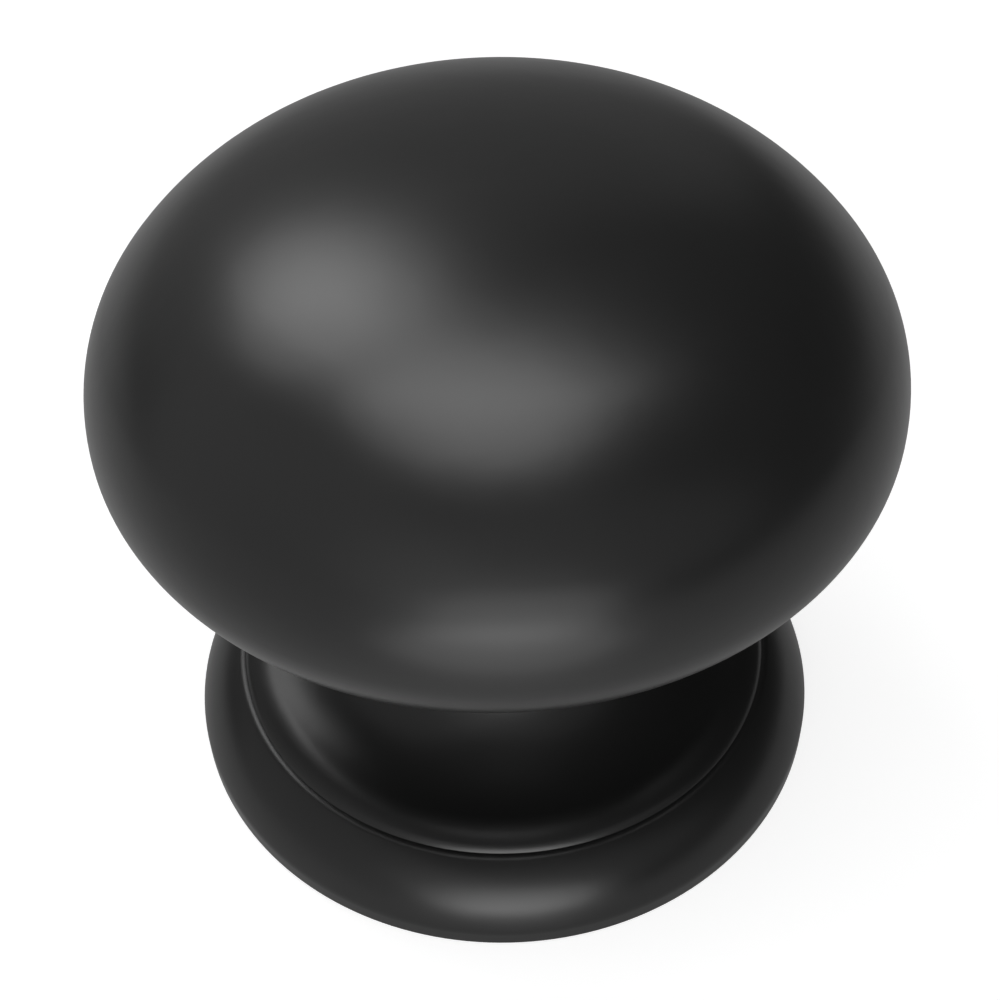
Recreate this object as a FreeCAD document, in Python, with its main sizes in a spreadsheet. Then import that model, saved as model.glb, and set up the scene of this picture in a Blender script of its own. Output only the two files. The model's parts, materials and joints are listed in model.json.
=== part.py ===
"""Mushroom cabinet knob: domed head, slim neck, hollow flare and round foot, in one turned metal piece.

The frame has +Z along the knob's axis, away from the door, and its origin at the centre of the flat back
of the foot, where the knob meets the door. Sizes are in millimetres and angles in degrees.
"""
import FreeCAD, Part
import math
import os
import Sketcher

SIZES = {
    # domed head: how far its crown rises and the neck's top lies, above and below its widest circle
    "head_diameter": 32.0,
    "crown_rise": 9.75,
    "underside_drop": 8.4,
    # two arcs of the head's underside, from the widest circle in to the neck's fillet
    "underside_edge_radius": 3.55,
    "underside_radius": 14.9,
    # slim neck, straight only for a short way, and how far the hollow flare below it turns outwards
    "neck_fillet_radius": 2.2,
    "neck_diameter": 10.4,
    "neck_length": 0.8,
    "flare_turn_angle": 79.5,
    # rounded lip at the flare's foot, measured in from the crease
    "lip_width": 1.35,
    "lip_crown_radius": 3.0,
    "lip_edge_radius": 0.8,
    "lip_edge_angle": 30.0,
    # fine crease where the lip meets the bead of the foot, measured in and up from the top of the rim
    "crease_step": 2.25,
    "crease_rise": 2.78,
    # round foot: bead beside the crease, rounded shoulder and a narrow upright rim
    "bead_radius": 0.6,
    "shoulder_radius": 4.6,
    "rim_round_radius": 1.0,
    "rim_height": 0.72,
    "base_diameter": 28.4,
    "back_edge_chamfer": 0.15,
    # blind M4 screw hole at tapping size, with a small countersink and a drill point
    "screw_bore_diameter": 3.3,
    "screw_hole_depth": 12.0,
    "screw_sink_diameter": 4.6,
    "screw_sink_angle": 90.0,
    "drill_point_angle": 118.0,
}

START, END, CENTRE = 1, 2, 3
SKETCH_ORIGIN = (-1, 1)
SKETCH_UPRIGHT = -2
QUARTER, HALF = math.pi / 2, math.pi
TOLERANCE = 1e-4
# The crown's side is blunter than an ellipse's end, and its top rounder, by this share: three arcs then
# keep within 0.03 mm of the ellipse.
CROWN_EASE = 1.065


def make_sheet(doc):
    """Put every driving size into a spreadsheet, one row each, under its own alias."""
    sheet = doc.addObject("Spreadsheet::Sheet", "sizes")
    for row, (name, value) in enumerate(SIZES.items(), start=1):
        sheet.set(f"A{row}", name)
        sheet.set(f"B{row}", str(value))
        sheet.setAlias(f"B{row}", name)
    doc.recompute()
    return sheet


def polar(centre, radius, angle):
    """Return the point at an angle, in radians, on a circle."""
    return (centre[0] + radius * math.cos(angle), centre[1] + radius * math.sin(angle))


def heading(centre, point):
    """Return the direction from a circle's centre to a point, in radians."""
    return math.atan2(point[1] - centre[1], point[0] - centre[0])


def crossing(first, first_reach, second, second_reach):
    """Find where two circles cross, on the left of the way from the first centre to the second.

    An arc that rolls against two others has its centre there: each reach is the sum of the two radii
    where the arcs touch from outside, and their difference where one lies inside the other.
    """
    gap = math.dist(first, second)
    along = (gap**2 + first_reach**2 - second_reach**2) / (2 * gap)
    aside = math.sqrt(first_reach**2 - along**2)
    way = heading(first, second)
    return polar(polar(first, along, way), aside, way + QUARTER)


class Outline:
    """A sketch on one of a body's own planes, with dimensions bound to the spreadsheet."""

    def __init__(self, body, name, role):
        self.sketch = body.newObject("Sketcher::SketchObject", name)
        plane = [feature for feature in body.Origin.OriginFeatures if feature.Role == role]
        self.sketch.AttachmentSupport = [(plane[0], "")]
        self.sketch.MapMode = "FlatFace"

    def line(self, start, end):
        """Draw a straight line between two points."""
        return self.sketch.addGeometry(Part.LineSegment(FreeCAD.Vector(*start), FreeCAD.Vector(*end)), False)

    def circle(self, centre, radius):
        """Draw a whole circle."""
        normal = FreeCAD.Vector(0, 0, 1)
        return self.sketch.addGeometry(Part.Circle(FreeCAD.Vector(*centre), normal, radius), False)

    def arc(self, centre, radius, start_angle, end_angle):
        """Draw an arc that runs anticlockwise between two angles."""
        circle = Part.Circle(FreeCAD.Vector(*centre), FreeCAD.Vector(0, 0, 1), radius)
        return self.sketch.addGeometry(Part.ArcOfCircle(circle, start_angle, end_angle), False)

    def rule(self, kind, *places):
        """Add a constraint of this kind between lines, arcs or their points."""
        return self.sketch.addConstraint(Sketcher.Constraint(kind, *places))

    def size(self, kind, name, formula, *places_and_value):
        """Add a named dimension and tie it to a formula of spreadsheet sizes."""
        number = self.rule(kind, *places_and_value)
        self.sketch.renameConstraint(number, name)
        self.sketch.setExpression(f"Constraints.{name}", formula)


def draw_foot(outline, size):
    """Draw the back, the rim and the three arcs of the foot's outside, up to the crease."""
    base_radius, rim_height = size["base_diameter"] / 2, size["rim_height"]
    crease_step, crease_rise = size["crease_step"], size["crease_rise"]
    rim_centre = (base_radius - size["rim_round_radius"], rim_height)
    bead_centre = (base_radius - crease_step, rim_height + crease_rise - size["bead_radius"])
    shoulder_centre = crossing(rim_centre, size["shoulder_radius"] - size["rim_round_radius"],
                               bead_centre, size["shoulder_radius"] - size["bead_radius"])
    shoulder_start = heading(shoulder_centre, rim_centre)
    shoulder_end = heading(shoulder_centre, bead_centre)

    back = outline.line((0, 0), (base_radius, 0))
    rim = outline.line((base_radius, 0), (base_radius, rim_height))
    rim_round = outline.arc(rim_centre, size["rim_round_radius"], 0, shoulder_start)
    shoulder = outline.arc(shoulder_centre, size["shoulder_radius"], shoulder_start, shoulder_end)
    bead = outline.arc(bead_centre, size["bead_radius"], shoulder_end, QUARTER)

    outline.rule("Coincident", back, START, *SKETCH_ORIGIN)
    outline.rule("Horizontal", back)
    outline.rule("Coincident", back, END, rim, START)
    outline.rule("Vertical", rim)
    outline.rule("Tangent", rim, END, rim_round, START)
    outline.rule("Tangent", rim_round, END, shoulder, START)
    outline.rule("Tangent", shoulder, END, bead, START)
    outline.rule("Vertical", bead, CENTRE, bead, END)
    outline.size("DistanceX", "base_radius", "sizes.base_diameter / 2", back, START, back, END, base_radius)
    outline.size("DistanceY", "rim_height", "sizes.rim_height", rim, START, rim, END, rim_height)
    outline.size("Radius", "rim_round", "sizes.rim_round_radius", rim_round, size["rim_round_radius"])
    outline.size("Radius", "shoulder", "sizes.shoulder_radius", shoulder, size["shoulder_radius"])
    outline.size("Radius", "bead", "sizes.bead_radius", bead, size["bead_radius"])
    outline.size("DistanceX", "crease_step", "sizes.crease_step", bead, END, rim, END, crease_step)
    outline.size("DistanceY", "crease_rise", "sizes.crease_rise", rim, END, bead, END, crease_rise)
    return bead


def draw_flare(outline, size):
    """Draw the rounded lip that rises from the crease and the hollow flare that sweeps up to the neck.

    The lip's crown rolls around its edge from inside and against the flare from outside. The flare's
    radius is what its turn needs to reach from the neck out to the lip.
    """
    crease = (size["base_diameter"] / 2 - size["crease_step"], size["rim_height"] + size["crease_rise"])
    edge_radius, crown_radius = size["lip_edge_radius"], size["lip_crown_radius"]
    edge_angle, turn = math.radians(size["lip_edge_angle"]), math.radians(size["flare_turn_angle"])
    edge_centre = polar(crease, edge_radius, edge_angle + HALF)
    turn_x = crease[0] - size["lip_width"]
    crown_x = turn_x - crown_radius * math.cos(turn)
    crown_drop = math.sqrt((crown_radius - edge_radius) ** 2 - (edge_centre[0] - crown_x) ** 2)
    crown_centre = (crown_x, edge_centre[1] - crown_drop)
    flare_radius = (turn_x - size["neck_diameter"] / 2) / (1 - math.cos(turn))
    flare_centre = polar(crown_centre, crown_radius + flare_radius, turn)
    edge_end = heading(crown_centre, edge_centre)

    lip_edge = outline.arc(edge_centre, edge_radius, edge_angle, edge_end)
    lip_crown = outline.arc(crown_centre, crown_radius, edge_end, turn)
    flare = outline.arc(flare_centre, flare_radius, HALF, turn + HALF)

    outline.rule("Tangent", lip_edge, END, lip_crown, START)
    outline.rule("Tangent", lip_crown, END, flare, END)
    outline.size("Radius", "lip_edge", "sizes.lip_edge_radius", lip_edge, edge_radius)
    outline.size("DistanceX", "lip_edge_across", "sizes.lip_edge_radius * cos(sizes.lip_edge_angle * 1 deg)",
                 lip_edge, CENTRE, lip_edge, START, edge_radius * math.cos(edge_angle))
    outline.size("Radius", "lip_crown", "sizes.lip_crown_radius", lip_crown, crown_radius)
    outline.size("DistanceX", "lip_width", "sizes.lip_width", lip_crown, END, lip_edge, START,
                 size["lip_width"])
    outline.size("DistanceX", "flare_turn", "sizes.lip_crown_radius * cos(sizes.flare_turn_angle * 1 deg)",
                 lip_crown, CENTRE, lip_crown, END, crown_radius * math.cos(turn))
    return lip_edge, flare, flare_centre


def draw_neck(outline, size, flare_centre):
    """Draw the upright neck, and return it with the centre of the fillet at its top."""
    neck_radius, neck_top = size["neck_diameter"] / 2, flare_centre[1] + size["neck_length"]
    neck = outline.line((neck_radius, flare_centre[1]), (neck_radius, neck_top))
    outline.rule("Vertical", neck)
    outline.size("DistanceX", "neck_radius", "sizes.neck_diameter / 2",
                 *SKETCH_ORIGIN, neck, END, neck_radius)
    outline.size("DistanceY", "neck_length", "sizes.neck_length", neck, START, neck, END, size["neck_length"])
    return neck, (neck_radius + size["neck_fillet_radius"], neck_top)


def draw_underside(outline, size, neck, fillet_centre):
    """Draw the neck's fillet and the two arcs of the head's underside, out to the widest circle."""
    fillet_radius, under_radius = size["neck_fillet_radius"], size["underside_radius"]
    reach, drop = size["head_diameter"] / 2, size["underside_drop"]
    edge_radius = size["underside_edge_radius"]
    edge_centre = (reach - edge_radius, fillet_centre[1] + drop)
    under_centre = crossing(fillet_centre, under_radius + fillet_radius,
                            edge_centre, under_radius - edge_radius)
    under_start = heading(under_centre, fillet_centre)
    under_end = heading(under_centre, edge_centre)

    fillet = outline.arc(fillet_centre, fillet_radius, under_start + HALF, HALF)
    under = outline.arc(under_centre, under_radius, under_start, under_end)
    edge = outline.arc(edge_centre, edge_radius, under_end, 0)

    outline.rule("Tangent", neck, END, fillet, END)
    outline.rule("Tangent", fillet, START, under, START)
    outline.rule("Tangent", under, END, edge, START)
    outline.rule("Horizontal", edge, CENTRE, edge, END)
    outline.size("Radius", "neck_fillet", "sizes.neck_fillet_radius", fillet, fillet_radius)
    outline.size("Radius", "underside", "sizes.underside_radius", under, under_radius)
    outline.size("Radius", "underside_edge", "sizes.underside_edge_radius", edge, edge_radius)
    outline.size("DistanceX", "head_radius", "sizes.head_diameter / 2", *SKETCH_ORIGIN, edge, END, reach)
    outline.size("DistanceY", "underside_drop", "sizes.underside_drop", neck, END, edge, END, drop)
    return edge, edge_centre[1]


def draw_crown(outline, size, edge, middle):
    """Draw the three arcs of the crown, from the widest circle to the top, and the axis back down.

    They follow a half ellipse as wide as the head. Its own radii are rise^2 / reach at the side and
    reach^2 / rise at the top, and the arc between those two has their geometric mean.
    """
    reach, rise = size["head_diameter"] / 2, size["crown_rise"]
    side_radius, top_radius = CROWN_EASE * rise**2 / reach, reach**2 / rise / CROWN_EASE
    shoulder_radius = math.sqrt(reach * rise)
    side_centre = (reach - side_radius, middle)
    top_centre = (0, middle + rise - top_radius)
    shoulder_centre = crossing(top_centre, top_radius - shoulder_radius,
                               side_centre, shoulder_radius - side_radius)
    side_end = heading(shoulder_centre, side_centre)
    top_start = heading(top_centre, shoulder_centre)

    side = outline.arc(side_centre, side_radius, 0, side_end)
    shoulder = outline.arc(shoulder_centre, shoulder_radius, side_end, top_start)
    top = outline.arc(top_centre, top_radius, top_start, QUARTER)
    axis = outline.line((0, middle + rise), (0, 0))

    outline.rule("Tangent", edge, END, side, START)
    outline.rule("Tangent", side, END, shoulder, START)
    outline.rule("Tangent", shoulder, END, top, START)
    outline.rule("PointOnObject", top, CENTRE, SKETCH_UPRIGHT)
    outline.rule("PointOnObject", top, END, SKETCH_UPRIGHT)
    outline.rule("Coincident", top, END, axis, START)
    outline.rule("Coincident", axis, END, *SKETCH_ORIGIN)
    outline.size("Radius", "crown_side", f"{CROWN_EASE} * sizes.crown_rise ^ 2 / (sizes.head_diameter / 2)",
                 side, side_radius)
    outline.size("Radius", "crown_shoulder", "sqrt(sizes.head_diameter / 2 * sizes.crown_rise)",
                 shoulder, shoulder_radius)
    outline.size("Radius", "crown_top", f"(sizes.head_diameter / 2) ^ 2 / sizes.crown_rise / {CROWN_EASE}",
                 top, top_radius)
    outline.size("DistanceY", "crown_rise", "sizes.crown_rise", side, START, top, END, rise)


def draw_half_section(body, size):
    """Draw half the knob's section as one closed outline and return its sketch."""
    outline = Outline(body, "half_section", "XZ_Plane")
    bead = draw_foot(outline, size)
    lip_edge, flare, flare_centre = draw_flare(outline, size)
    neck, fillet_centre = draw_neck(outline, size, flare_centre)
    edge, middle = draw_underside(outline, size, neck, fillet_centre)
    draw_crown(outline, size, edge, middle)
    outline.rule("Coincident", bead, END, lip_edge, START)
    outline.rule("Tangent", flare, START, neck, START)
    return outline.sketch


def break_back_edge(body, turned):
    """Take the sharp outer edge off the back with a small chamfer."""
    edges = []
    for number, edge in enumerate(turned.Shape.Edges, start=1):
        if not edge.Degenerated and isinstance(edge.Curve, Part.Circle) and edge.BoundBox.ZMax < TOLERANCE:
            edges.append(f"Edge{number}")
    chamfer = body.newObject("PartDesign::Chamfer", "back_edge")
    chamfer.Base = (turned, edges)
    chamfer.setExpression("Size", "sizes.back_edge_chamfer")


def drill_screw_hole(body, size):
    """Bore the blind screw hole up the axis from the back, with a countersunk mouth and a drill point."""
    outline = Outline(body, "screw_hole_place", "XY_Plane")
    ring = outline.circle((0, 0), size["screw_bore_diameter"] / 2)
    outline.rule("Coincident", ring, CENTRE, *SKETCH_ORIGIN)
    outline.size("Diameter", "bore", "sizes.screw_bore_diameter", ring, size["screw_bore_diameter"])
    body.Document.recompute()
    hole = body.newObject("PartDesign::Hole", "screw_hole")
    hole.Profile = outline.sketch
    hole.Reversed = True
    hole.DepthType = "Dimension"
    hole.DrillPoint = "Angled"
    hole.HoleCutType = "Countersink"
    hole.setExpression("Diameter", "sizes.screw_bore_diameter")
    hole.setExpression("Depth", "sizes.screw_hole_depth")
    hole.setExpression("DrillPointAngle", "sizes.drill_point_angle * 1 deg")
    hole.setExpression("HoleCutDiameter", "sizes.screw_sink_diameter")
    hole.setExpression("HoleCutCountersinkAngle", "sizes.screw_sink_angle * 1 deg")


def build_knob(doc, size):
    """Turn the half section about the axis, break the back edge and bore the screw hole."""
    body = doc.addObject("PartDesign::Body", "knob")
    body.Label = "knob"
    section = draw_half_section(body, size)
    turned = body.newObject("PartDesign::Revolution", "turned")
    turned.Profile = section
    turned.ReferenceAxis = (section, ["V_Axis"])
    turned.Angle = 360
    doc.recompute()
    break_back_edge(body, turned)
    doc.recompute()
    undrilled_volume = body.Shape.Volume
    drill_screw_hole(body, size)
    doc.recompute()
    if body.Shape.Volume >= undrilled_volume:
        raise RuntimeError("the screw hole cuts nothing")
    return body


def check(doc, body):
    """Stop with a plain message if any object failed or the knob isn't one sound solid."""
    for item in doc.Objects:
        if "Invalid" in item.State or "Error" in item.State:
            raise RuntimeError(f"{item.Label} failed: {item.State}")
    if not body.Document.half_section.FullyConstrained:
        raise RuntimeError("the half section isn't fully constrained")
    shape = body.Shape
    if shape.isNull() or not shape.isValid() or len(shape.Solids) != 1:
        raise RuntimeError(f"{body.Label} is not one valid solid")


def main():
    """Build the knob, check it and write it to its STEP file."""
    doc = FreeCAD.newDocument("cabinet_knob")
    make_sheet(doc)
    knob = build_knob(doc, SIZES)
    check(doc, knob)
    os.makedirs("parts", exist_ok=True)
    knob.Shape.exportStep(f"parts/{knob.Label}.step")
    box = knob.Shape.optimalBoundingBox()
    print(f"{knob.Label}: height {box.ZLength:.2f} mm, {knob.Shape.Volume / 1000:.2f} cm3, "
          f"{len(knob.Shape.Faces)} faces")


main()
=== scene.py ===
"""Looks of the mushroom cabinet knob: a satin black coat over one turned metal piece.

Blender's lengths are metres. The knob's own sizes are in millimetres, as a maker would give them, and
become metres where its mesh is made. +Z is the knob's axis, away from the door, and its back lies at zero.
"""

import json
import math

import bpy
import numpy as np
from mathutils import Matrix, Vector


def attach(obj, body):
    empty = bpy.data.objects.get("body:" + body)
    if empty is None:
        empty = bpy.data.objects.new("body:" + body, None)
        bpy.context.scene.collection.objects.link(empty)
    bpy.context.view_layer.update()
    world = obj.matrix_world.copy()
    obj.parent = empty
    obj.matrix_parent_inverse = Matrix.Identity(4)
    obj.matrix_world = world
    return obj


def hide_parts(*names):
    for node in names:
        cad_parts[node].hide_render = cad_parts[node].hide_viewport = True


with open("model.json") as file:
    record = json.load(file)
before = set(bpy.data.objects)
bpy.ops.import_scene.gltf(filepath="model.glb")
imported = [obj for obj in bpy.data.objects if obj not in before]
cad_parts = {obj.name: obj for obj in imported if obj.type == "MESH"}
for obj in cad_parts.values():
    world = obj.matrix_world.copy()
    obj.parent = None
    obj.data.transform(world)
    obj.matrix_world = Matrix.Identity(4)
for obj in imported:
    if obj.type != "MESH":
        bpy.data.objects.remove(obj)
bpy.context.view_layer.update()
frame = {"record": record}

MM = 0.001

# Sizes of the turned outline, in millimetres, with its angles written in degrees
CROWN_RISE = 9.75
CROWN_EASE = 1.065
UNDERSIDE_DROP = 8.4
UNDERSIDE_EDGE_RADIUS = 3.55
UNDERSIDE_RADIUS = 14.9
NECK_FILLET_RADIUS = 2.2
NECK_RADIUS = 5.2
NECK_LENGTH = 0.8
FLARE_TURN = math.radians(79.5)
LIP_WIDTH = 1.35
LIP_CROWN_RADIUS = 3.0
LIP_EDGE_RADIUS = 0.8
LIP_EDGE_ANGLE = math.radians(30)
CREASE_STEP = 2.25
CREASE_RISE = 2.78
BEAD_RADIUS = 0.6
SHOULDER_RADIUS = 4.6
RIM_ROUND_RADIUS = 1.0
RIM_HEIGHT = 0.72
BASE_RADIUS = 14.2
BACK_EDGE_CHAMFER = 0.15
HEAD_RADIUS = 16.0

# M4 thread in the blind hole, in millimetres: coarse pitch, from the tapping bore out to the full diameter
THREAD_PITCH = 0.7
THREAD_RADIUS = 2.0
SINK_RADIUS = 2.3
HOLE_DEPTH = 12.0
DRILL_POINT_HALF_ANGLE = math.radians(59)
THREAD_FLAT = 0.6
THREAD_RUN_OUT = 0.5

# Mesh steps: columns round the axis, the most that a row of faces may turn or reach in millimetres along an
# arc, and the rows of the thread and of the straight runs
COLUMNS = 192
ROW_TURN = math.radians(2.2)
ROW_REACH = 0.6
THREAD_ROWS_PER_PITCH = 10
STRAIGHT_ROWS = 2
DRILL_POINT_ROWS = 4
SINK_ROWS = 3
BACK_ROWS = 12

UP = math.pi / 2

# Finish of the coat and of the bare metal: patterns in repeats per metre, the peel's depth in metres
COAT_BLACK = (0.012, 0.012, 0.012, 1)
COAT_ROUGHNESS = 0.32
COAT_GLOSS_DRIFT = 0.012
COAT_TONE_DRIFT = 0.06
DRIFT_SCALE = 140.0
PEEL_SCALE = 900.0
PEEL_STRENGTH = 0.06
PEEL_DEPTH = 0.0001
TOOL_MARK_SCALE = 2500.0
TOOL_MARK_SQUEEZE = 8.0
METAL_DARK = (0.34, 0.34, 0.33, 1)
METAL_BRIGHT = (0.62, 0.61, 0.59, 1)
METAL_SMOOTHEST = 0.25
METAL_ROUGHEST = 0.45

# Most of a noise texture's values lie between these two
NOISE_LOW = 0.3
NOISE_HIGH = 0.7

# Levels of the table and the surroundings, where 1 is white
WHITE = (1, 1, 1, 1)
TABLE_SHADE = 0.4
TABLE_ROUGHNESS = 0.9
TABLE_GLOW_NEAR = 0.82
TABLE_GLOW_IN_GLOSS = 0.24
SURROUNDINGS = 0.04

# The table, in metres: it lies a hair under the knob's back, so that the two faces don't share a plane
TABLE_REACH = 6.0
TABLE_LEVEL = -0.00002
TABLE_GLOW_FROM = 0.03
TABLE_GLOW_TO = 0.25


# The outline's points are complex numbers: distance from the axis, and height as the imaginary part
def polar(centre, radius, angle):
    """Point at an angle on a circle: the centre plus the radius along that direction."""
    return centre + radius * np.exp(1j * angle)


def heading(start, end):
    """Direction from one point to another, in radians."""
    return float(np.angle(end - start))


def crossing(first, first_reach, second, second_reach):
    """Point where two circles cross, on the left of the way between their centres, by the cosine rule."""
    gap = abs(second - first)
    along = (gap**2 + first_reach**2 - second_reach**2) / (2 * gap)
    aside = math.sqrt(first_reach**2 - along**2)
    return first + (along + 1j * aside) * (second - first) / gap


def arc(centre, radius, start, end):
    """Points along an arc: equal turns, each no more than a row may turn or reach."""
    turn = abs(end - start)
    rows = math.ceil(max(turn / ROW_TURN, turn * radius / ROW_REACH))
    return polar(centre, radius, np.linspace(start, end, rows + 1))


def run(start, end, rows=1):
    """Points along a straight run: equal steps."""
    return start + (end - start) * np.linspace(0, 1, rows + 1)


def foot_outline():
    """Arcs of the foot, from the top of its upright rim over the shoulder and the bead to the crease.

    The shoulder's centre is as far from the rim round's and the bead's centres as its radius is larger
    than theirs.
    """
    rim_centre = BASE_RADIUS - RIM_ROUND_RADIUS + 1j * RIM_HEIGHT
    bead_centre = BASE_RADIUS - CREASE_STEP + 1j * (RIM_HEIGHT + CREASE_RISE - BEAD_RADIUS)
    shoulder_centre = crossing(rim_centre, SHOULDER_RADIUS - RIM_ROUND_RADIUS,
                               bead_centre, SHOULDER_RADIUS - BEAD_RADIUS)
    shoulder_start = heading(shoulder_centre, rim_centre)
    shoulder_end = heading(shoulder_centre, bead_centre)
    return [arc(rim_centre, RIM_ROUND_RADIUS, 0, shoulder_start),
            arc(shoulder_centre, SHOULDER_RADIUS, shoulder_start, shoulder_end),
            arc(bead_centre, BEAD_RADIUS, shoulder_end, UP)]


def flare_outline(crease):
    """Arcs from the crease over the lip and up the hollow flare, and the flare's centre."""
    edge_centre = polar(crease, LIP_EDGE_RADIUS, LIP_EDGE_ANGLE + math.pi)
    turn_x = crease.real - LIP_WIDTH
    crown_x = turn_x - LIP_CROWN_RADIUS * math.cos(FLARE_TURN)
    crown_drop = math.sqrt((LIP_CROWN_RADIUS - LIP_EDGE_RADIUS) ** 2 - (edge_centre.real - crown_x) ** 2)
    crown_centre = crown_x + 1j * (edge_centre.imag - crown_drop)
    flare_radius = (turn_x - NECK_RADIUS) / (1 - math.cos(FLARE_TURN))
    flare_centre = polar(crown_centre, LIP_CROWN_RADIUS + flare_radius, FLARE_TURN)
    edge_end = heading(crown_centre, edge_centre)
    arcs = [arc(edge_centre, LIP_EDGE_RADIUS, LIP_EDGE_ANGLE, edge_end),
            arc(crown_centre, LIP_CROWN_RADIUS, edge_end, FLARE_TURN),
            arc(flare_centre, flare_radius, FLARE_TURN + math.pi, math.pi)]
    return arcs, flare_centre


def head_outline(neck_top):
    """Arcs from the top of the neck round the underside and over the crown to the pole.

    The crown follows a half ellipse: its side arc has the radius rise^2 / reach, its top arc
    reach^2 / rise, both eased a little, and the arc between them their geometric mean.
    """
    fillet_centre = NECK_RADIUS + NECK_FILLET_RADIUS + 1j * neck_top
    middle = 1j * (neck_top + UNDERSIDE_DROP)
    edge_centre = HEAD_RADIUS - UNDERSIDE_EDGE_RADIUS + middle
    under_centre = crossing(fillet_centre, UNDERSIDE_RADIUS + NECK_FILLET_RADIUS,
                            edge_centre, UNDERSIDE_RADIUS - UNDERSIDE_EDGE_RADIUS)
    under_start = heading(under_centre, fillet_centre)
    under_end = heading(under_centre, edge_centre)
    side_radius = CROWN_EASE * CROWN_RISE**2 / HEAD_RADIUS
    top_radius = HEAD_RADIUS**2 / CROWN_RISE / CROWN_EASE
    shoulder_radius = math.sqrt(HEAD_RADIUS * CROWN_RISE)
    side_centre = HEAD_RADIUS - side_radius + middle
    top_centre = middle + 1j * (CROWN_RISE - top_radius)
    shoulder_centre = crossing(top_centre, top_radius - shoulder_radius,
                               side_centre, shoulder_radius - side_radius)
    side_end = heading(shoulder_centre, side_centre)
    top_start = heading(top_centre, shoulder_centre)
    return [arc(fillet_centre, NECK_FILLET_RADIUS, math.pi, under_start + math.pi),
            arc(under_centre, UNDERSIDE_RADIUS, under_start, under_end),
            arc(edge_centre, UNDERSIDE_EDGE_RADIUS, under_end, 0),
            arc(side_centre, side_radius, 0, side_end),
            arc(shoulder_centre, shoulder_radius, side_end, top_start),
            arc(top_centre, top_radius, top_start, UP)]


def join(pieces):
    """One array of points from pieces that meet end to end, without the doubled meeting points."""
    return np.concatenate([piece[:-1] for piece in pieces] + [pieces[-1][-1:]])


def outside_outline():
    """Points of the knob's outside, from the centre of the back edge's chamfer to the pole of the crown."""
    foot = foot_outline()
    flare, flare_centre = flare_outline(foot[-1][-1])
    neck_top = flare_centre.imag + NECK_LENGTH
    head = head_outline(neck_top)
    rim_foot = BASE_RADIUS + 1j * BACK_EDGE_CHAMFER
    back_edge = BASE_RADIUS - BACK_EDGE_CHAMFER + 0j
    pieces = [run(back_edge, rim_foot), run(rim_foot, foot[0][0], STRAIGHT_ROWS), *foot, *flare,
              run(flare[-1][-1], head[0][0], STRAIGHT_ROWS), *head]
    corners = [back_edge, rim_foot, foot[-1][-1]]
    return join(pieces), corners


def thread_outline(bore_radius, sink_end):
    """Heights of the rows down the threaded bore, from its drilled end to the countersink."""
    turns = (HOLE_DEPTH - sink_end) / THREAD_PITCH
    rows = math.ceil(turns * THREAD_ROWS_PER_PITCH)
    return bore_radius + 1j * np.linspace(HOLE_DEPTH, sink_end, rows + 1)


def thread_depth(height, angle, sink_end):
    """How far the thread cuts into the wall, from 0 to 1, at a height and an angle.

    It's a triangle wave of the height less one pitch for each turn, cut off flat at both ends, and it
    fades out over a short way at both ends of the bore.
    """
    phase = height / THREAD_PITCH - angle / (2 * math.pi)
    wave = 1 - 2 * np.abs(2 * (phase - np.floor(phase)) - 1)
    cut = np.clip(0.5 + wave / (2 * THREAD_FLAT), 0, 1)
    fade = np.clip(np.minimum(height - sink_end, HOLE_DEPTH - height) / THREAD_RUN_OUT, 0, 1)
    return cut * fade


def knob_surface(bore_radius):
    """Radius and height of the whole surface on a grid, with rows along the half section.

    The rows run from the drill point in the hole, down the bore, over the back and up the outside to the
    crown. All are plain circles but those of the bore, whose radius follows the thread. The first cut_rows
    rows of faces, past the drill's tip, are the wall that the drill and the tap have cut.
    """
    angles = np.linspace(0, 2 * math.pi, COLUMNS, endpoint=False)
    sink_end = SINK_RADIUS - bore_radius
    outside, corners = outside_outline()
    point = 1j * (HOLE_DEPTH + bore_radius / math.tan(DRILL_POINT_HALF_ANGLE))
    bore = thread_outline(bore_radius, sink_end)
    sink_mouth = SINK_RADIUS + 0j
    drill = run(point, bore[0], DRILL_POINT_ROWS)
    sink = run(bore[-1], sink_mouth, SINK_ROWS)
    back = run(sink_mouth, outside[0], BACK_ROWS)
    outline = join([drill, bore, sink, back, outside])
    corners = [bore[0], bore[-1], sink_mouth, *corners]
    radius = np.repeat(outline.real[:, None], COLUMNS, axis=1)
    height = np.repeat(outline.imag[:, None], COLUMNS, axis=1)
    first = len(drill) - 1
    last = first + len(bore)
    depth = thread_depth(height[first:last], angles, sink_end)
    radius[first:last] += depth * (THREAD_RADIUS - bore_radius)
    cut_rows = last - 2
    sharp_rows = [int(np.argmin(abs(outline - corner))) for corner in corners]
    return radius, height, angles, sharp_rows, cut_rows


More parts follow.
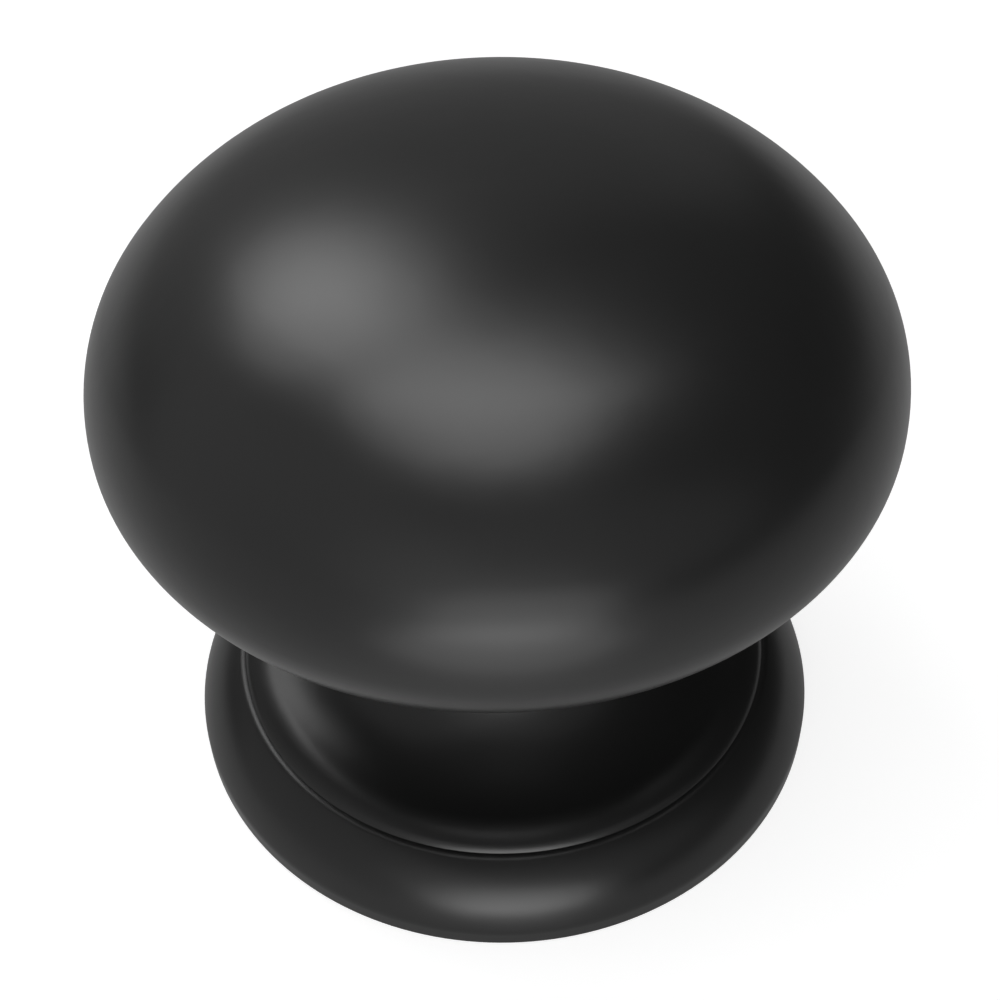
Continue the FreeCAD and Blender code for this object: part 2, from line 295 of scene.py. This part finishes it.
def turned_mesh(name, radius, height, angles, sharp_rows):
    """Mesh of a turned surface: each grid point goes to (radius cos a, radius sin a, height).

    The first and the last row are single points on the axis, closed with a fan. The faces come row by row,
    then the first fan, then the last. They point away from the metal. Rows in sharp_rows keep a sharp edge.
    """
    columns = len(angles)
    inner = radius[1:-1]
    rings = np.stack([inner * np.cos(angles), inner * np.sin(angles), height[1:-1]], axis=-1)
    ends = np.array([[0, 0, height[0, 0]], [0, 0, height[-1, 0]]])
    points = np.concatenate([rings.reshape(-1, 3), ends]) * MM
    rows = len(rings)
    here = np.arange(columns)
    there = np.roll(here, -1)
    row = np.arange(rows - 1)[:, None] * columns
    quads = np.stack([row + here, row + there, row + columns + there, row + columns + here], axis=-1)
    low_end = rows * columns
    high_end = low_end + 1
    top = (rows - 1) * columns
    low_fan = np.stack([np.full(columns, low_end), there, here], axis=-1)
    high_fan = np.stack([top + here, top + there, np.full(columns, high_end)], axis=-1)
    mesh = bpy.data.meshes.new(name)
    mesh.from_pydata(points, [], quads.reshape(-1, 4).tolist() + low_fan.tolist() + high_fan.tolist())
    mesh.polygons.foreach_set("use_smooth", np.ones(len(mesh.polygons), bool))
    ends_of_edge = np.empty(2 * len(mesh.edges), np.int32)
    mesh.edges.foreach_get("vertices", ends_of_edge)
    row_of_end = ends_of_edge.reshape(-1, 2) // columns + 1
    sharp = (row_of_end[:, 0] == row_of_end[:, 1]) & np.isin(row_of_end[:, 0], sharp_rows)
    mesh.edges.foreach_set("use_edge_sharp", sharp)
    mesh.update()
    mesh.validate()
    return mesh


def new_group(name, inputs, outputs):
    """A shader node group with named inputs and outputs, and its input and output nodes."""
    group = bpy.data.node_groups.new(name, "ShaderNodeTree")
    for kind, label in inputs:
        group.interface.new_socket(label, in_out="INPUT", socket_type=kind)
    for kind, label in outputs:
        group.interface.new_socket(label, in_out="OUTPUT", socket_type=kind)
    return group, group.nodes.new("NodeGroupInput"), group.nodes.new("NodeGroupOutput")


def new_node(tree, kind, inputs=(), **settings):
    """A node with its settings, whose inputs are linked to sockets or set to plain values."""
    node = tree.nodes.new(kind)
    for label, value in settings.items():
        setattr(node, label, value)
    for label, value in dict(inputs).items():
        if isinstance(value, bpy.types.NodeSocket):
            tree.links.new(value, node.inputs[label])
        else:
            node.inputs[label].default_value = value
    return node


def powder_coat_group():
    """Fine orange peel of a baked powder coat as a height, and slow drifts of its tone and gloss."""
    group, source, result = new_group(
        "powder_coat",
        [("NodeSocketFloat", "Peel Scale"), ("NodeSocketColor", "Coat Color"),
         ("NodeSocketFloat", "Gloss Drift"), ("NodeSocketFloat", "Roughness")],
        [("NodeSocketColor", "Color"), ("NodeSocketFloat", "Roughness"), ("NodeSocketFloat", "Height")])
    place = new_node(group, "ShaderNodeTexCoord").outputs["Object"]
    peel = new_node(group, "ShaderNodeTexNoise",
                    {"Vector": place, "Scale": source.outputs["Peel Scale"],
                     "Detail": 2.0, "Roughness": 0.45})
    drift = new_node(group, "ShaderNodeTexNoise", {"Vector": place, "Scale": DRIFT_SCALE, "Detail": 3.0})
    spread = new_node(group, "ShaderNodeMapRange",
                      {"Value": drift.outputs["Fac"], "From Min": NOISE_LOW, "From Max": NOISE_HIGH,
                       "To Min": -1.0, "To Max": 1.0})
    gloss = new_node(group, "ShaderNodeMath",
                     {0: spread.outputs["Result"], 1: source.outputs["Gloss Drift"],
                      2: source.outputs["Roughness"]}, operation="MULTIPLY_ADD")
    tone = new_node(group, "ShaderNodeMapRange",
                    {"Value": drift.outputs["Fac"], "From Min": NOISE_LOW, "From Max": NOISE_HIGH,
                     "To Min": 1 - COAT_TONE_DRIFT, "To Max": 1 + COAT_TONE_DRIFT})
    colour = new_node(group, "ShaderNodeVectorMath",
                      {0: source.outputs["Coat Color"], 1: tone.outputs["Result"]}, operation="MULTIPLY")
    group.links.new(colour.outputs["Vector"], result.inputs["Color"])
    group.links.new(gloss.outputs["Value"], result.inputs["Roughness"])
    group.links.new(peel.outputs["Fac"], result.inputs["Height"])
    return group


def satin_black():
    """Satin black powder coat: a near-black base under a soft, even gloss."""
    material = bpy.data.materials.new("satin_black_coat")
    material.use_nodes = True
    tree = material.node_tree
    shader = tree.nodes["Principled BSDF"]
    coat = new_node(tree, "ShaderNodeGroup",
                    {"Peel Scale": PEEL_SCALE, "Coat Color": COAT_BLACK,
                     "Gloss Drift": COAT_GLOSS_DRIFT, "Roughness": COAT_ROUGHNESS},
                    node_tree=powder_coat_group())
    bump = new_node(tree, "ShaderNodeBump",
                    {"Height": coat.outputs["Height"], "Strength": PEEL_STRENGTH, "Distance": PEEL_DEPTH})
    tree.links.new(coat.outputs["Color"], shader.inputs["Base Color"])
    tree.links.new(coat.outputs["Roughness"], shader.inputs["Roughness"])
    tree.links.new(bump.outputs["Normal"], shader.inputs["Normal"])
    return material


def cut_metal():
    """Bare zinc alloy where drill and tap have cut the coat away: bright, with fine tool marks round it."""
    material = bpy.data.materials.new("cut_metal")
    material.use_nodes = True
    tree = material.node_tree
    shader = tree.nodes["Principled BSDF"]
    shader.inputs["Metallic"].default_value = 1.0
    place = new_node(tree, "ShaderNodeTexCoord").outputs["Object"]
    squeezed = new_node(tree, "ShaderNodeMapping", {"Vector": place, "Scale": (1, 1, TOOL_MARK_SQUEEZE)})
    marks = new_node(tree, "ShaderNodeTexNoise",
                     {"Vector": squeezed.outputs["Vector"], "Scale": TOOL_MARK_SCALE, "Detail": 3.0})
    tone = new_node(tree, "ShaderNodeValToRGB", {"Fac": marks.outputs["Fac"]})
    tone.color_ramp.elements[0].color = METAL_DARK
    tone.color_ramp.elements[1].color = METAL_BRIGHT
    rough = new_node(tree, "ShaderNodeMapRange",
                     {"Value": marks.outputs["Fac"], "To Min": METAL_SMOOTHEST, "To Max": METAL_ROUGHEST})
    tree.links.new(tone.outputs["Color"], shader.inputs["Base Color"])
    tree.links.new(rough.outputs["Result"], shader.inputs["Roughness"])
    return material


def build_knob():
    """The coated knob, one closed piece with its threaded hole, in place of the plain solid.

    The hole's wall is bare metal: the rows of faces that drill and tap have cut, and the fan at the drill's
    tip, which comes straight after the last row.
    """
    bore_radius = next(mount["dims"]["r_mm"] for mount in frame["record"]["mounts"]
                       if mount["name"] == "screw_hole")
    radius, height, angles, sharp_rows, cut_rows = knob_surface(bore_radius)
    mesh = turned_mesh("coated_knob", radius, height, angles, sharp_rows)
    mesh.materials.append(satin_black())
    mesh.materials.append(cut_metal())
    bare_metal = 1
    fan_start = (len(radius) - 3) * COLUMNS
    slots = np.zeros(len(mesh.polygons), np.int32)
    slots[:cut_rows * COLUMNS] = bare_metal
    slots[fan_start:fan_start + COLUMNS] = bare_metal
    mesh.polygons.foreach_set("material_index", slots)
    knob = bpy.data.objects.new("coated_knob", mesh)
    bpy.context.scene.collection.objects.link(knob)
    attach(knob, "root")
    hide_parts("knob")


def pale_table():
    """Matt pale tabletop that takes the knob's soft shadow.

    To the camera it glows up to white: less round the knob, where the lamps light it and the shadow lies,
    and all the way where their light ends. In the knob's gloss it glows evenly.
    """
    material = bpy.data.materials.new("pale_table")
    material.use_nodes = True
    tree = material.node_tree
    shader = tree.nodes["Principled BSDF"]
    shader.inputs["Base Color"].default_value = (TABLE_SHADE, TABLE_SHADE, TABLE_SHADE, 1)
    shader.inputs["Roughness"].default_value = TABLE_ROUGHNESS
    shader.inputs["Specular IOR Level"].default_value = 0.0
    shader.inputs["Emission Color"].default_value = WHITE
    place = new_node(tree, "ShaderNodeTexCoord").outputs["Object"]
    away = new_node(tree, "ShaderNodeVectorMath", {0: place}, operation="LENGTH").outputs["Value"]
    to_camera = new_node(tree, "ShaderNodeMapRange",
                         {"Value": away, "From Min": TABLE_GLOW_FROM, "From Max": TABLE_GLOW_TO,
                          "To Min": TABLE_GLOW_NEAR, "To Max": 1.0}).outputs["Result"]
    rays = new_node(tree, "ShaderNodeLightPath")
    in_gloss = new_node(tree, "ShaderNodeMath",
                        {0: rays.outputs["Is Glossy Ray"], 1: TABLE_GLOW_IN_GLOSS}, operation="MULTIPLY")
    glow = new_node(tree, "ShaderNodeMath",
                    {0: rays.outputs["Is Camera Ray"], 1: to_camera, 2: in_gloss.outputs["Value"]},
                    operation="MULTIPLY_ADD")
    tree.links.new(glow.outputs["Value"], shader.inputs["Emission Strength"])
    return material


def pale_floor():
    """The tabletop, one flat face that reaches past every view."""
    corners = [(-TABLE_REACH, -TABLE_REACH, TABLE_LEVEL), (TABLE_REACH, -TABLE_REACH, TABLE_LEVEL),
               (TABLE_REACH, TABLE_REACH, TABLE_LEVEL), (-TABLE_REACH, TABLE_REACH, TABLE_LEVEL)]
    mesh = bpy.data.meshes.new("floor")
    mesh.from_pydata(corners, [], [(0, 1, 2, 3)])
    mesh.materials.append(pale_table())
    floor = bpy.data.objects.new("floor", mesh)
    bpy.context.scene.collection.objects.link(floor)


# Height in metres of the head's middle, which the lamps face
HEAD_MIDDLE = 0.02

# Studio lamps: name, place, width and height in metres, and radiance, where 1 looks white. The last five
# stand close by: the head shades the foot from the first three of them, and the other two light its front
LAMPS = [
    ("left_back", (-0.16, 0.17, 0.34), 0.14, 0.30, 3.2),
    ("overhead", (0.0, -0.01, 0.42), 0.46, 0.13, 2.0),
    ("front_low", (0.03, -0.40, 0.07), 0.32, 0.20, 1.7),
    ("front_wide", (0.09, -0.34, 0.21), 0.95, 0.28, 0.25),
    ("left_wide", (-0.30, -0.21, 0.17), 0.95, 0.41, 0.35),
    ("back_wide", (-0.12, 0.33, 0.22), 0.95, 0.44, 0.2),
    ("near_overhead", (-0.004, -0.018, 0.08), 0.056, 0.04, 2.1),
    ("near_overhead_front", (-0.002, -0.027, 0.077), 0.034, 0.022, 0.8),
    ("near_left_back", (-0.036, 0.012, 0.072), 0.03, 0.034, 2.0),
    ("near_front", (0.0, -0.045, 0.01), 0.04, 0.02, 1.2),
    ("low_front", (0.0, -0.12, 0.01), 0.09, 0.02, 2.7),
]


def lamp(name, place, width, height, radiance):
    """Oval soft lamp that faces the head's middle, or the knob's axis at its own height if that is lower.

    A lamp's power is its radiance times pi times its area, and its area is pi times both half axes.
    """
    place = Vector(place)
    way = place - Vector((0, 0, min(place.z, HEAD_MIDDLE)))
    data = bpy.data.lights.new(name, "AREA")
    data.shape = "ELLIPSE"
    data.size = width
    data.size_y = height
    data.energy = radiance * math.pi * math.pi * (width / 2) * (height / 2)
    item = bpy.data.objects.new(name, data)
    item.matrix_world = Matrix.LocRotScale(place, way.to_track_quat("Z", "Y"), None)
    item.visible_camera = False
    bpy.context.scene.collection.objects.link(item)


def soft_surroundings():
    """Dim even light from all round, white where the camera looks past the table."""
    world = bpy.data.worlds.new("studio")
    world.use_nodes = True
    tree = world.node_tree
    tree.nodes["Background"].inputs["Color"].default_value = WHITE
    seen = new_node(tree, "ShaderNodeLightPath").outputs["Is Camera Ray"]
    level = new_node(tree, "ShaderNodeMapRange", {"Value": seen, "To Min": SURROUNDINGS, "To Max": 1.0})
    tree.links.new(level.outputs["Result"], tree.nodes["Background"].inputs["Strength"])
    bpy.context.scene.world = world


def place_camera():
    """Camera in front and above, near enough for the head to look larger than the foot.

    It looks at a point on the axis, turned a little about its own line of sight, so that the knob's top
    leans left. Its shift is less than a pixel of a picture 1000 pixels wide.
    """
    target = Vector((0, 0, 0.01224))
    distance = 0.0717
    rise = math.radians(46.315)
    lean = math.radians(1.38)
    back = Vector((0, -math.cos(rise), math.sin(rise)))
    data = bpy.data.cameras.new("camera")
    data.sensor_width = 36.0
    data.lens = 60.38
    data.shift_x = 0.0001
    data.shift_y = 0.0007
    data.clip_start = 0.005
    camera = bpy.data.objects.new("camera", data)
    turn = back.to_track_quat("Z", "Y") @ Matrix.Rotation(-lean, 3, "Z").to_quaternion()
    camera.matrix_world = Matrix.LocRotScale(target + back * distance, turn, None)
    bpy.context.scene.collection.objects.link(camera)
    bpy.context.scene.camera = camera


build_knob()
pale_floor()
for row in LAMPS:
    lamp(*row)
soft_surroundings()
place_camera()
bpy.context.scene.view_settings.view_transform = "Standard"
